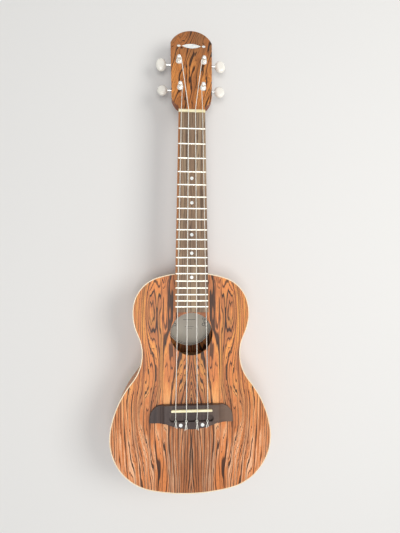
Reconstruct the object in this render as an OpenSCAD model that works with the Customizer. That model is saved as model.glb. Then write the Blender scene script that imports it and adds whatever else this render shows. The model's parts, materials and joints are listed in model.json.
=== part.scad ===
// Concert ukulele with open geared tuners.
// Every piece is drawn from the front edge of the nut (y = 0, headstock towards +Y) and from
// the upper face of the soundboard (z = 0), and lay() then puts the flat back on z = 0.

/* [Scale and strings] */
// Open string length from nut to saddle, before compensation
scale_len = 381; // [360:1:400]
// Extra length at the saddle that keeps the strings in tune
compensation = 3.5; // [1:0.5:6]
// Distance between neighbouring strings at the nut
nut_spacing = 9.25; // [8.5:0.25:10]
// Distance between neighbouring strings at the saddle
saddle_spacing = 13.5; // [12:0.5:14.5]
// Thickness of the g string
g_string_d = 0.76; // [0.6:0.02:1]
// Thickness of the c string
c_string_d = 1.0; // [0.8:0.02:1.2]
// Thickness of the e string
e_string_d = 0.88; // [0.7:0.02:1.1]
// Thickness of the a string
a_string_d = 0.7; // [0.6:0.02:0.9]
// Height of the strings above the first fret
nut_action = 0.5; // [0.3:0.1:1]
// Turns of string round each post
string_turns = 2.4; // [1.4:0.5:2.4]

/* [Body outline] */
// Length from the neck joint to the tail
body_len = 280.6; // [268:0.2:294]
// Width across the lower bout
lower_w = 209.2; // [198:0.2:220]
// Width across the waist
waist_w = 127.2; // [118:0.2:138]
// Width across the upper bout
upper_w = 151.6; // [146:0.2:162]
// Distance from the tail to the widest line of the lower bout
lower_from_tail = 62; // [56:1:72]
// Distance from the neck joint to the widest line of the upper bout
upper_from_joint = 51; // [47:1:57]
// Radius of the side of the lower bout
lower_r = 125; // [112:1:138]
// Radius of the side of the upper bout
upper_r = 65; // [58:1:72]
// Radius of the tail
tail_r = 236; // [204:4:296]
// Radius of the corners beside the tail
corner_r = 67; // [56:1:76]
// Radius of the shoulders beside the neck
shoulder_r = 150; // [146:2:176]
// Radius of the corners between the shoulders and the upper bout
shoulder_corner_r = 45; // [38:1:50]
// Height of the shoulder arc above the flat that the neck is fixed to
shoulder_rise = 1.6; // [1.6:0.1:2.4]

/* [Body depth and walls] */
// Depth of the body at the tail
tail_depth = 68; // [62:1:76]
// Depth of the body at the neck joint
joint_depth = 60; // [54:1:61]
// Thickness of the soundboard
top_t = 2; // [1.5:0.1:3]
// Thickness of the back
back_t = 2.2; // [1.5:0.1:3]
// Thickness of the rims
rim_t = 2.2; // [1.8:0.1:3]
// Thickness of the binding
binding_t = 1.1; // [0.8:0.1:1.6]
// Height of the binding
binding_h = 5; // [3.5:0.5:7]
// Width of the strip between the rims at the tail
end_strip_w = 10; // [6:1:16]
// Thickness of the linings
lining_t = 5; // [3:0.5:7]
// Height of the linings
lining_h = 11; // [8:1:14]
// Width of the neck and tail blocks
block_w = 58; // [50:1:70]
// Thickness of the neck block
neck_block_t = 24; // [18:1:28]
// Thickness of the tail block
tail_block_t = 13; // [10:1:20]

/* [Soundhole and label] */
// Radius of the soundhole
hole_r = 27.5; // [24:0.5:29]
// Gap between the end of the fingerboard and the soundhole
hole_gap = 1; // [0.5:0.5:4]
// Width of the doubler ring round the soundhole
patch_w = 8; // [5:0.5:8.5]
// Thickness of the doubler ring and of the bridge plate
patch_t = 1.6; // [1:0.1:2.5]
// Radius of the paper label
label_r = 33; // [28:1:34]
// Thickness of the paper label
label_t = 0.3; // [0.2:0.1:0.5]
// Distance from the centre of the soundhole to the centre of the label
label_shift = 9; // [6:1:11]

/* [Braces] */
// Width of a brace
brace_w = 6; // [4:0.5:7]
// Height of a brace
brace_h = 9; // [6:0.5:11]
// Width of a fan strut
strut_w = 5; // [3:0.5:7]
// Height of a fan strut
strut_h = 6; // [4:0.5:8]
// Distance between the fan struts at the bridge end
strut_gap = 22; // [16:1:28]

/* [Fingerboard and frets] */
// Number of frets
fret_count = 19; // [17:1:19]
// Fret at which the neck meets the body
joint_fret = 14; // [14:1:14]
// Width of the fingerboard at the nut
nut_w = 35; // [33:0.5:38]
// Width of the fingerboard at its end
board_end_w = 44; // [42:0.5:48]
// Thickness of the fingerboard
board_t = 5; // [4:0.5:6.5]
// Radius of the fret crowns
crown_r = 1.1; // [0.9:0.05:1.3]
// Height of the fret crowns above the fingerboard
crown_h = 1; // [0.7:0.05:1.1]
// Thickness of the fret tangs
tang_t = 0.5; // [0.4:0.05:0.6]
// Depth of the fret tangs
tang_h = 1.8; // [1.5:0.1:2.4]
// Radius of the position dots
dot_r = 2.2; // [1.5:0.1:3]
// Depth of the position dots
dot_t = 1.2; // [0.8:0.1:2]

/* [Nut, saddle and bridge] */
// Thickness of the nut
nut_t = 4.5; // [3.5:0.5:6]
// Thickness of the saddle
saddle_t = 3; // [2.5:0.1:3.5]
// Length of the saddle
saddle_len = 52; // [48:1:56]
// Height of the strings above the soundboard at the saddle
saddle_h = 10.8; // [10:0.2:12]
// Width of the bridge from wing tip to wing tip
bridge_w = 106.4; // [100:1:116]
// Length of the straight edge of the bridge on the neck side
bridge_edge_w = 75.6; // [66:1:82]
// Distance from the neck edge of the bridge to the saddle
bridge_front = 6.2; // [4.5:0.5:8]
// Length of the bridge wings along the strings
wing_len = 22.6; // [21.5:0.1:25]
// Length by which the tie block bulges behind the wings
tie_bulge = 7.4; // [5:0.5:9]
// Half width of the part of the bridge behind the wings
tie_half_w = 33; // [30:1:36]
// Height of the bridge under the strings
bridge_h = 8; // [7:0.5:9]
// Height of the wing tips
wing_h = 3.6; // [2.5:0.2:5]
// Distance from the saddle to the near side of the string trench
trench_gap = 6.6; // [5:0.2:8]
// Length of the string trench along the strings
trench_len = 8; // [6:0.5:8.5]
// Width of the string trench
trench_w = 56; // [50:1:60]
// Radius of the tie holes
tie_hole_r = 0.85; // [0.7:0.05:1]
// Distance from the centreline to each bridge bolt
bolt_x = 13.85; // [11:0.5:16]
// Radius of the bridge bolts
bolt_r = 1.5; // [1.2:0.1:1.8]

/* [Neck] */
// Depth of the neck below the fingerboard at the nut
neck_depth_nut = 13.5; // [12:0.5:15]
// Depth of the neck below the fingerboard at the body
neck_depth_joint = 15; // [14:0.5:17]
// Reach of the heel along the neck at its top
heel_reach = 50; // [42:1:56]
// Half width of the heel at its foot
heel_foot_r = 12; // [9:0.5:14]
// Thickness of the heel cap
heel_cap_t = 1.5; // [1:0.5:3]
// Radius of the dowels that hold the neck
dowel_r = 4; // [3:0.5:5]
// Distance of the lower dowel below the soundboard
lower_dowel_z = 38; // [30:1:42]

/* [Headstock] */
// Angle by which the headstock leans back
head_angle = 10; // [8:0.5:14]
// Length of the headstock from the nut to its tip
head_len = 121.5; // [112:0.5:130]
// Width of the headstock above the nut
head_w = 53.4; // [50:0.5:60]
// Width of the headstock across its shoulders
head_top_w = 56.6; // [53:0.5:62]
// Distance from the nut to the shoulders
head_shoulder = 102; // [98:0.5:106]
// Radius of the cheeks next to the nut
cheek_r = 16; // [12:0.5:20]
// Distance from the nut to the end of the cheeks
cheek_u = 20; // [17:0.5:24]
// Thickness of the headstock with its veneer
head_t = 12.5; // [11:0.5:15]
// Thickness of the headstock veneer
veneer_t = 1.6; // [1:0.1:2.5]
// Height of the veneer above the soundboard at the nut
head_face_z = 3.5; // [2.5:0.5:4]
// Depth of the headstock inlay
inlay_t = 0.8; // [0.5:0.1:1]

/* [Tuners] */
// Distance from the centreline to the lower posts
lower_post_x = 15.2; // [14:0.2:16.5]
// Distance from the centreline to the upper posts
upper_post_x = 16.8; // [15.5:0.2:18]
// Distance from the nut to the lower posts
lower_post_u = 32.7; // [30:0.5:36]
// Distance from the nut to the upper posts
upper_post_u = 73; // [70:0.5:77]
// Radius of the posts
post_r = 3; // [2.7:0.1:3.2]
// Radius of the posts where the string is wound
waist_r = 2.2; // [1.8:0.1:2.4]
// Height of the posts above the headstock
post_h = 10.5; // [9.5:0.5:12]
// Running clearance of the posts and worms in their bearings
run_gap = 0.06; // [0.03:0.01:0.09]
// Teeth on a tuner wheel
wheel_teeth = 15; // [13:1:17]
// Module of the wheel teeth
gear_module = 0.65; // [0.6:0.01:0.7]
// Thickness of a tuner wheel
wheel_t = 3.2; // [2.6:0.1:3.6]
// Pitch radius of the worms
worm_r = 2.9; // [2.8:0.05:3.1]
// Radius of the worm journals
journal_r = 1.5; // [1.2:0.1:1.7]
// Thickness of the tuner plates and of their ears
ear_t = 1; // [0.8:0.1:1.3]
// Distance from the centreline to the middle of the lower buttons
lower_button_x = 39.4; // [38:0.2:42]
// Distance from the centreline to the middle of the upper buttons
upper_button_x = 41.5; // [40:0.2:44]
// Width of a button
button_w = 18.5; // [16:0.5:20]
// Length of a button along its shaft
button_len = 14.5; // [12:0.5:16]
// Thickness of a button
button_t = 7.5; // [6:0.5:9]

/* [Hidden] */
$fn = 64;
facet_len = 4;         // longest straight stretch along the body outline
fine_facet = 2;        // the same for the headstock and the bridge
fit_gap = 0.05;        // clearance of a glued or pressed piece in its hole

function fret_y(n) = -scale_len * (1 - pow(2, -n / 12));
function unit(v) = v / norm(v);
function bearing(v) = atan2(v[1], v[0]);
function bearing360(v) = (bearing(v) + 360) % 360;
function polar(c, r, a) = c + r * [cos(a), sin(a)];
// The point on the +X side where two circles cross.
function meet(c1, r1, c2, r2) = let (d = norm(c2 - c1), e = (c2 - c1) / d,
    a = (r1 * r1 - r2 * r2 + d * d) / (2 * d), h = sqrt(r1 * r1 - a * a),
    p = c1 + a * e + h * [-e[1], e[0]], q = c1 + a * e - h * [-e[1], e[0]]) p[0] > q[0] ? p : q;
// Points along an arc, without its last one.
function arc_of(c, r, a, b, facet = facet_len) =
    let (n = max(2, ceil(abs(b - a) * PI / 180 * r / facet)))
    [for (k = [0 : n - 1]) polar(c, r, a + (b - a) * k / n)];
function mirrored(half) = [for (k = [len(half) - 1 : -1 : 1]) [-half[k][0], half[k][1]]];

// Places along the instrument
joint_y = fret_y(joint_fret);
tail_y = joint_y - body_len;
board_end_y = fret_y(20);
hole_y = board_end_y - hole_gap - hole_r;
saddle_y = -scale_len - compensation;

// Centres of the arcs of the body outline
tail_c = [0, tail_y + tail_r];
lower_c = [lower_w / 2 - lower_r, tail_y + lower_from_tail];
corner_c = meet(tail_c, tail_r - corner_r, lower_c, lower_r - corner_r);
upper_c = [upper_w / 2 - upper_r, joint_y - upper_from_joint];
shoulder_c = [0, joint_y + shoulder_rise - shoulder_r];
shoulder_corner_c = meet(shoulder_c, shoulder_r - shoulder_corner_r,
    upper_c, upper_r - shoulder_corner_r);
// The waist arc touches both bouts, so its centre solves one quadratic in y.
lower_k = pow(lower_r, 2) - pow(waist_w / 2 - lower_c[0], 2);
upper_k = pow(upper_r, 2) - pow(waist_w / 2 - upper_c[0], 2);
lower_d = (lower_w - waist_w) / 2;
upper_d = (upper_w - waist_w) / 2;
quad_a = upper_d - lower_d;
quad_b = 2 * (lower_d * upper_c[1] - upper_d * lower_c[1]);
quad_c = upper_d * (pow(lower_c[1], 2) - lower_k) - lower_d * (pow(upper_c[1], 2) - upper_k);
waist_y = (-quad_b + sqrt(quad_b * quad_b - 4 * quad_a * quad_c)) / (2 * quad_a);
waist_arc_r = (pow(waist_y - lower_c[1], 2) - lower_k) / (2 * lower_d);
waist_c = [waist_w / 2 + waist_arc_r, waist_y];

// Where the instrument lies on its back
back_tilt = atan((tail_depth - joint_depth) / body_len);
tip_y = nut_t + head_len * cos(head_angle);
tip_z = head_face_z - head_len * sin(head_angle);
tip_reach = tip_y * cos(back_tilt) + tip_z * sin(back_tilt);
tail_reach = tail_y * cos(back_tilt) - tail_depth * sin(back_tilt);
lay_y = -(tip_reach + tail_reach) / 2;
lay_z = tail_depth * cos(back_tilt) + tail_y * sin(back_tilt);

// Heights
board_z = board_t;
nut_string_z = board_z + crown_h + nut_action;
slack = 0.03;          // gap under a string on the nut and the saddle

module lay() translate([0, lay_y, lay_z]) rotate([-back_tilt, 0, 0]) children();
module from_back() rotate([back_tilt, 0, 0]) translate([0, -lay_y, -lay_z]) children();

// ---- Body ----
beyond = 5;            // how far the cutting shapes reach past the body
function body_half(i) = concat(
    arc_of(tail_c, tail_r - i, -90, bearing(corner_c - tail_c)),
    arc_of(corner_c, corner_r - i, bearing(corner_c - tail_c), bearing(corner_c - lower_c)),
    arc_of(lower_c, lower_r - i, bearing(corner_c - lower_c), bearing(waist_c - lower_c)),
    arc_of(waist_c, waist_arc_r + i, bearing360(lower_c - waist_c),
        bearing360(upper_c - waist_c)),
    arc_of(upper_c, upper_r - i, bearing(waist_c - upper_c),
        bearing(shoulder_corner_c - upper_c)),
    arc_of(shoulder_corner_c, shoulder_corner_r - i, bearing(shoulder_corner_c - upper_c),
        bearing(shoulder_corner_c - shoulder_c)),
    let (flat = asin((shoulder_r - shoulder_rise - i) / (shoulder_r - i)))
        concat(arc_of(shoulder_c, shoulder_r - i, bearing(shoulder_corner_c - shoulder_c), flat),
            [polar(shoulder_c, shoulder_r - i, flat)]));

module body_shape(i) {
    half = body_half(i);
    polygon(concat(half, mirrored(half)));
}
// The inside of the body outline at inset i, between two heights.
module body_prism(i, low, high) translate([0, 0, low]) linear_extrude(high - low) body_shape(i);
module body_ring(i, j, low, high) translate([0, 0, low]) linear_extrude(high - low)
    difference() {
        body_shape(i);
        body_shape(j);
    }
// A slab parallel to the back, measured up from its outer face.
module back_slab(low, high) from_back() translate([-lower_w, -2 * body_len, low])
    cube([2 * lower_w, 4 * body_len, high - low]);
module half_space(side) translate([side > 0 ? 0 : -lower_w, tail_y - beyond, -2 * tail_depth])
    cube([lower_w, body_len + 2 * beyond, 3 * tail_depth]);

module block_space(thick, y) translate([-block_w / 2, y, -2 * tail_depth])
    cube([block_w, thick, 3 * tail_depth]);
module neck_block_space()
    block_space(neck_block_t + rim_t + beyond, joint_y - rim_t - neck_block_t);
module tail_block_space() block_space(tail_block_t + rim_t + beyond, tail_y - beyond);

dowel_in = 12;         // how far the dowels reach into the neck
module dowel(gap) for (z = [-neck_depth_joint / 2 - 4, -lower_dowel_z])
    translate([0, joint_y + dowel_in + gap, z]) rotate([90, 0, 0])
        cylinder(h = dowel_in + rim_t + 0.7 * neck_block_t + 2 * gap, r = dowel_r + gap);
module bolt_places() for (x = [-bolt_x, bolt_x]) translate([x, bolt_y, 0]) children();

module soundboard() color("#d39a63") lay() difference() {
    body_prism(binding_t, -top_t, 0);
    translate([0, hole_y, -top_t - 1]) cylinder(h = top_t + 2, r = hole_r);
    bolt_places() translate([0, 0, -top_t - 1]) cylinder(h = top_t + 2, r = bolt_r + fit_gap);
}
module back() color("#c98f5b") lay() intersection() {
    body_prism(binding_t, -tail_depth - beyond, 0);
    back_slab(0, back_t);
}
module rim(side) difference() {
    intersection() {
        body_ring(0, rim_t, -tail_depth - beyond, -top_t);
        half_space(side);
    }
    body_ring(-1, binding_t, -binding_h, 0);
    intersection() {
        body_ring(-1, binding_t, -tail_depth - beyond, 0);
        back_slab(-tail_depth, binding_h);
    }
    back_slab(-tail_depth, back_t);
    translate([-end_strip_w / 2, tail_y - 1, -2 * tail_depth])
        cube([end_strip_w, rim_t + 2, 3 * tail_depth]);
    dowel(fit_gap);
}
module rim_bass() color("#b97f4e") lay() rim(-1);
module rim_treble() color("#b97f4e") lay() rim(1);
module end_strip() color("#efe0c2") lay() difference() {
    intersection() {
        body_ring(0, rim_t, -tail_depth - beyond, -top_t);
        translate([-end_strip_w / 2, tail_y - 1, -2 * tail_depth])
            cube([end_strip_w, rim_t + 2, 3 * tail_depth]);
    }
    body_ring(-1, binding_t, -binding_h, 0);
    intersection() {
        body_ring(-1, binding_t, -tail_depth - beyond, 0);
        back_slab(-tail_depth, binding_h);
    }
    back_slab(-tail_depth, back_t);
}
module top_binding() color("#efdcb8") lay() body_ring(0, binding_t, -binding_h, 0);
module back_binding() color("#efdcb8") lay() intersection() {
    body_ring(0, binding_t, -tail_depth - beyond, 0);
    back_slab(0, binding_h);
}
// What lies between the rims, clear of the soundboard and the back.
module inner_space(i) difference() {
    body_prism(i, -tail_depth - beyond, -top_t);
    back_slab(-tail_depth, back_t);
}
module neck_block() color("#c8a47a") lay() difference() {
    intersection() {
        inner_space(rim_t);
        neck_block_space();
    }
    dowel(fit_gap);
}
module tail_block() color("#c8a47a") lay() intersection() {
    inner_space(rim_t);
    tail_block_space();
}
module lining_ring() difference() {
    body_ring(rim_t, rim_t + lining_t, -tail_depth - beyond, -top_t);
    neck_block_space();
    tail_block_space();
}
module top_linings() color("#d9b98c") lay() intersection() {
    lining_ring();
    translate([-lower_w, tail_y, -top_t - lining_h]) cube([2 * lower_w, body_len, lining_h]);
}
module back_linings() color("#d9b98c") lay() intersection() {
    lining_ring();
    back_slab(back_t, back_t + lining_h);
}
// A bar across the body with tapered ends, hanging down from z = 0.
module cross_bar(len, w, h) rotate([90, 0, 0]) translate([0, 0, -w / 2]) linear_extrude(w)
    polygon([[-len / 2, 0], [len / 2, 0], [len / 2, -h / 4], [len / 2 - 2 * h, -h],
        [-len / 2 + 2 * h, -h], [-len / 2, -h / 4]]);
upper_bar_y = hole_y + hole_r + patch_w + brace_w / 2 + fit_gap;
lower_bar_y = hole_y - hole_r - patch_w - brace_w / 2 - fit_gap;
module soundboard_braces() color("#e3c693") lay() intersection() {
    union() {
        for (y = [upper_bar_y, lower_bar_y]) translate([0, y, -top_t])
            cross_bar(waist_w, brace_w, brace_h);
        for (side = [-1, 0, 1]) translate([side * strut_gap, bridge_end_y - 4, -top_t - strut_h])
            rotate([0, 0, side * 12]) translate([-strut_w / 2, -body_len, 0])
                cube([strut_w, body_len, strut_h]);
    }
    difference() {
        inner_space(rim_t + lining_t);
        tail_block_space();
    }
}
back_brace_ys = [joint_y - rim_t - neck_block_t - 2 - brace_w / 2, lower_bar_y,
    tail_y + lower_from_tail];
module back_braces() color("#e3c693") lay() intersection() {
    inner_space(rim_t + lining_t);
    from_back() for (y = back_brace_ys) translate([0, y + lay_y, back_t])
        mirror([0, 0, 1]) cross_bar(lower_w, brace_w, brace_h);
}
module bridge_plate() color("#d9b98c") lay() difference() {
    translate([-bridge_w / 2, bridge_end_y - 2, -top_t - patch_t])
        cube([bridge_w, bridge_start_y - bridge_end_y + 4, patch_t]);
    bolt_places() translate([0, 0, -top_t - patch_t - 1])
        cylinder(h = patch_t + 2, r = bolt_r + fit_gap);
}
module soundhole_patch() color("#c9a069") lay() translate([0, hole_y, -top_t - patch_t])
    difference() {
        cylinder(h = patch_t, r = hole_r + patch_w);
        translate([0, 0, -1]) cylinder(h = patch_t + 2, r = hole_r);
    }
module label() color("#e8e0d2") lay() intersection() {
    translate([0, hole_y + label_shift, -tail_depth]) cylinder(h = tail_depth, r = label_r);
    back_slab(back_t, back_t + label_t);
}

// ---- Neck and headstock ----
// The neck is a half-round cone whose round side passes through the edges of the fingerboard.
joint_w = nut_w + (board_end_w - nut_w) * joint_y / board_end_y;
function round_r(w, d) = (w * w / 4 + d * d) / (2 * d);
nut_cone_r = round_r(nut_w, neck_depth_nut);
joint_cone_r = round_r(joint_w, neck_depth_joint);
nut_cone_z = nut_cone_r - neck_depth_nut;
joint_cone_z = joint_cone_r - neck_depth_joint;
cone_lean = atan((joint_cone_z - nut_cone_z) / -joint_y);
head_back_z = head_face_z - head_t;
// How far the round neck runs on under the headstock until it lies within it
throat_len = nut_t + 3 + max(0, neck_depth_nut + head_back_z) / tan(head_angle);

head_reach = head_len + 2 * nut_t;

// A cone round the neck's axis: radius at the nut, growth per mm towards the tip, two ends.
module axis_cone(r, growth, low, high) translate([0, 0, nut_cone_z]) rotate([90 - cone_lean, 0, 0])
    translate([0, 0, -high]) cylinder(h = high - low, r1 = r + growth * high, r2 = r + growth * low);
module neck_cone() intersection() {
    axis_cone(nut_cone_r, (joint_cone_r - nut_cone_r) / joint_y, joint_y - 2, throat_len);
    union() {
        translate([-nut_w, joint_y, -2 * head_t]) cube([2 * nut_w, -joint_y - 2, 2 * head_t]);
        translate([-nut_w / 2 + 0.3, -3, -2 * head_t])
            cube([nut_w - 0.6, throat_len + 3, 2 * head_t]);
    }
}
// The heel is lofted from half ovals that shrink from the neck down to the heel cap.
heel_depth = joint_depth - heel_cap_t - 1;
heel_bend = neck_depth_joint - 1;
heel_top_w = joint_w / 2 - 0.3;
// One level of the heel as [depth, half width, reach], for a from 0 to 90 degrees.
function heel_level(a) = [heel_depth - (heel_depth - heel_bend) * cos(a),
    heel_foot_r + (heel_top_w - heel_foot_r) * cos(a),
    heel_reach - (heel_reach - heel_foot_r - 1) * sin(a)];
heel_levels = concat([[1, heel_top_w, heel_reach]], [for (a = [0 : 10 : 90]) heel_level(a)]);
function half_oval(w, reach) = [for (b = [0 : 10 : 180]) [w * cos(b), reach * sin(b)]];
module heel() {
    m = len(half_oval(1, 1));
    last = len(heel_levels) - 1;
    points = [for (v = heel_levels, p = half_oval(v[1], v[2])) [p[0], joint_y + p[1], -v[0]]];
    polyhedron(points, concat([[for (j = [m - 1 : -1 : 0]) j]],
        [[for (j = [0 : m - 1]) m * last + j]],
        [for (i = [0 : last - 1], j = [0 : m - 1]) let (a = m * i + j, b = m * i + (j + 1) % m)
            each [[a, b, b + m], [a, b + m, a + m]]]));
}

arch_rise = head_len - head_shoulder;
arch_r = (pow(head_top_w / 2, 2) + arch_rise * arch_rise) / (2 * arch_rise);
cheek_c = [head_w / 2 - cheek_r, cheek_u];
cheek_a = acos((nut_w / 2 - cheek_c[0]) / cheek_r);
arch_c = [0, head_len - arch_r];
function head_half() = concat([[0, -2 * nut_t], [nut_w / 2, -2 * nut_t]],
    arc_of(cheek_c, cheek_r, -cheek_a, 0, fine_facet), [[head_w / 2, cheek_u]],
    arc_of(arch_c, arch_r, bearing([head_top_w / 2, head_shoulder] - arch_c), 90, fine_facet),
    [[0, head_len]]);
module head_shape() {
    half = head_half();
    polygon(concat(half, [for (k = [len(half) - 2 : -1 : 1]) [-half[k][0], half[k][1]]]));
}
// The plane of the headstock: x across, u away from the nut, z up from the veneer.
module on_head() translate([0, nut_t, head_face_z]) rotate([-head_angle, 0, 0]) children();
function head_point(x, u, w) = [x, nut_t + u * cos(head_angle) + w * sin(head_angle),
    head_face_z - u * sin(head_angle) + w * cos(head_angle)];

// Tuners: string, side, post x, post u, button x and the turn of the button.
tuners = [[-1, lower_post_x, lower_post_u, lower_button_x, -15],
    [-1, upper_post_x, upper_post_u, upper_button_x, 11],
    [1, upper_post_x, upper_post_u, upper_button_x, 2],
    [1, lower_post_x, lower_post_u, lower_button_x, -8]];
// Each tuner is drawn for the treble side and mirrored for the bass side.
module at_tuner(k) on_head() mirror([tuners[k][0] < 0 ? 1 : 0, 0, 0])
    translate([tuners[k][1], tuners[k][2], 0]) children();
module at_tuners() for (k = [0 : 3]) at_tuner(k) children();

bushing_r = post_r + 1;
// What the nut and the end of the fingerboard take up above the neck.
module nut_space() translate([-nut_w, -3 * nut_t, 0]) cube([2 * nut_w, 4 * nut_t, head_t]);
// The flare rounds the headstock's back edges where the round neck runs into them.
flare = 0.5;
module neck() color("#7a4a2a") lay() difference() {
    union() {
        neck_cone();
        heel();
        intersection() {
            on_head() translate([0, 0, -head_t]) linear_extrude(head_t - veneer_t) head_shape();
            axis_cone(nut_cone_r + 2, flare, -3 * nut_t, head_reach);
        }
    }
    on_head() translate([-head_w, -3 * nut_t, -veneer_t])
        cube([2 * head_w, 2 * head_len, head_t]);
    nut_space();
    dowel(fit_gap);
    at_tuners() {
        translate([0, 0, -head_t - 1]) cylinder(h = head_t + 2, r = bushing_r + fit_gap);
        screw_places() translate([0, 0, -head_t - 1]) cylinder(h = 9, r = screw_r + fit_gap);
    }
}
module heel_cap() color("#3a2a22") lay() translate([0, joint_y, -heel_depth - heel_cap_t])
    linear_extrude(heel_cap_t) polygon(half_oval(heel_foot_r, heel_foot_r + 1));
module neck_dowels() color("#d8bb8c") lay() dowel(0);
module headplate() color("#8a4a26") lay() difference() {
    on_head() translate([0, 0, -veneer_t]) linear_extrude(veneer_t) head_shape();
    nut_space();
    at_tuners() translate([0, 0, -veneer_t - 1])
        cylinder(h = veneer_t + 2, r = bushing_r + fit_gap);
    on_head() head_inlay_solid(fit_gap / 2);
}
// A plain leaf between two small lozenges.
inlay_u = (upper_post_u + head_len) / 2;
module leaf(len, w, grow) {
    r = (w * w + len * len) / (4 * w) + grow;
    intersection_for (side = [-1, 1]) translate([0, side * (r - grow - w / 2)])
        circle(r = r, $fn = 96);
}
module head_inlay_shape(grow) {
    leaf(26, 7, grow);
    for (x = [-17, 17]) translate([x, 0]) leaf(5, 3.4, grow);
}
module head_inlay_solid(grow) translate([0, inlay_u, -inlay_t - grow])
    linear_extrude(inlay_t + 2 * grow) head_inlay_shape(grow);
module head_inlay() color("#e9e6da") lay() on_head() head_inlay_solid(0);

// ---- Fingerboard ----
function board_w(y) = nut_w + (board_end_w - nut_w) * y / board_end_y;
slot_gap = 0.05;
dot_frets = [5, 7, 10, 12, 15];
module dot_places() for (n = dot_frets)
    translate([0, (fret_y(n - 1) + fret_y(n)) / 2, board_z - dot_t]) children();
module fingerboard() color("#6d5444") lay() difference() {
    linear_extrude(board_t) polygon([[-nut_w / 2, 0], [-board_end_w / 2, board_end_y],
        [board_end_w / 2, board_end_y], [nut_w / 2, 0]]);
    for (n = [1 : fret_count]) translate([-nut_w, fret_y(n) - tang_t / 2 - slot_gap,
        board_z - tang_h - slot_gap]) cube([2 * nut_w, tang_t + 2 * slot_gap, tang_h + 1]);
    dot_places() cylinder(h = dot_t + 1, r = dot_r + fit_gap);
}
module fret(w) {
    intersection() {
        translate([-w / 2, 0, crown_h - crown_r]) rotate([0, 90, 0]) cylinder(h = w, r = crown_r);
        translate([-w, -2 * crown_r, 0]) cube([2 * w, 4 * crown_r, 2 * crown_r]);
    }
    translate([-w / 2, -tang_t / 2, -tang_h]) cube([w, tang_t, tang_h + crown_h / 2]);
}
module frets() color("#d9d3c4") lay() for (n = [1 : fret_count])
    translate([0, fret_y(n), board_z]) fret(board_w(fret_y(n)) - 0.3);
module position_dots() color("#f3efe4") lay() dot_places() cylinder(h = dot_t, r = dot_r);

// ---- Nut, saddle and bridge ----
string_ds = [g_string_d, c_string_d, e_string_d, a_string_d];
function nut_x(k) = (k - 1.5) * nut_spacing;
function saddle_x(k) = (k - 1.5) * saddle_spacing;
nut_h = nut_string_z + 0.8;
nut_fall = 5;          // the slots in the nut fall away towards the headstock
module nut() color("#efe3bd") lay() difference() {
    translate([-nut_w / 2, 0, 0]) rotate([90, 0, 90]) linear_extrude(nut_w)
        polygon([[fit_gap, 0], [nut_t, 0], [nut_t, nut_h - 2.2], [nut_t * 0.55, nut_h - 0.4],
            [fit_gap + 0.5, nut_h], [fit_gap, nut_h - 0.4]]);
    for (k = [0 : 3]) translate([nut_x(k), 0, nut_string_z + string_ds[k] / 2])
        rotate([90 - nut_fall, 0, 0]) {
            translate([0, 0, -nut_t - 3]) cylinder(h = nut_t + 4, r = string_ds[k] / 2 + slack);
            translate([-string_ds[k] / 2 - slack, 0, -nut_t - 3])
                cube([string_ds[k] + 2 * slack, 4, nut_t + 4]);
        }
}

bolt_y = saddle_y - trench_gap - trench_len - 4;
bridge_start_y = saddle_y + bridge_front;
wing_end_y = bridge_start_y - wing_len;
bridge_end_y = wing_end_y - tie_bulge;
bulge_r = (tie_half_w * tie_half_w + tie_bulge * tie_bulge) / (2 * tie_bulge);
bulge_c = [0, bridge_end_y + bulge_r];
wing_tip_y = wing_end_y + 4.5;
shoulder_dx = (bridge_w - bridge_edge_w) / 2;
shoulder_dy = bridge_start_y - wing_tip_y;
// A quarter of an oval, from the wing tip up to the straight edge.
function wing_shoulder() = [for (a = [0 : 10 : 90])
    [bridge_edge_w / 2 + shoulder_dx * cos(a), wing_tip_y + shoulder_dy * sin(a)]];
function bridge_half() = concat(
    arc_of(bulge_c, bulge_r, -90, bearing([tie_half_w, wing_end_y] - bulge_c), fine_facet),
    [[tie_half_w, wing_end_y], [bridge_w / 2 - 0.8, wing_end_y], [bridge_w / 2, wing_end_y + 0.8]],
    wing_shoulder());
module bridge_shape() {
    half = bridge_half();
    polygon(concat(half, mirrored(half)));
}
scoop_r = 12;
scoop_x = tie_half_w + 11;
tie_top = bridge_h - 1;
tie_hole_z = 4.4;
trench_z = 3;
saddle_slot = 5;       // depth of the slot that holds the saddle
module stadium(len, w, h) {
    for (x = [-1, 1]) translate([x * (len - w) / 2, 0, 0]) cylinder(h = h, r = w / 2);
    translate([-(len - w) / 2, -w / 2, 0]) cube([len - w, w, h]);
}
module bridge() color("#4a4141") lay() difference() {
    linear_extrude(bridge_h) bridge_shape();
    for (side = [-1, 1]) translate([side * scoop_x, bridge_start_y + 5, wing_h + scoop_r])
        rotate([90, 0, 0]) cylinder(h = 60, r = scoop_r);
    for (side = [-1, 1]) translate([side > 0 ? scoop_x : -scoop_x - 30, bridge_end_y - 5, wing_h])
        cube([30, 60, bridge_h]);
    translate([0, saddle_y, bridge_h - saddle_slot])
        stadium(saddle_len + 2 * fit_gap, saddle_t + 2 * fit_gap, saddle_slot + 1);
    translate([0, saddle_y - trench_gap - trench_len / 2, trench_z])
        stadium(trench_w, trench_len, bridge_h);
    for (k = [0 : 3]) translate([saddle_x(k), saddle_y - trench_gap - 1, tie_hole_z])
        rotate([90, 0, 0]) cylinder(h = 40, r = tie_hole_r);
    translate([-tie_half_w, bridge_end_y - 1, tie_top])
        cube([2 * tie_half_w, saddle_y - trench_gap - trench_len - bridge_end_y + 1, 5]);
    bolt_places() {
        translate([0, 0, -1]) cylinder(h = bridge_h, r = bolt_r + fit_gap);
        translate([0, 0, tie_top - 2.2]) cylinder(h = 5, r = bolt_r + 0.8);
    }
}
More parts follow.
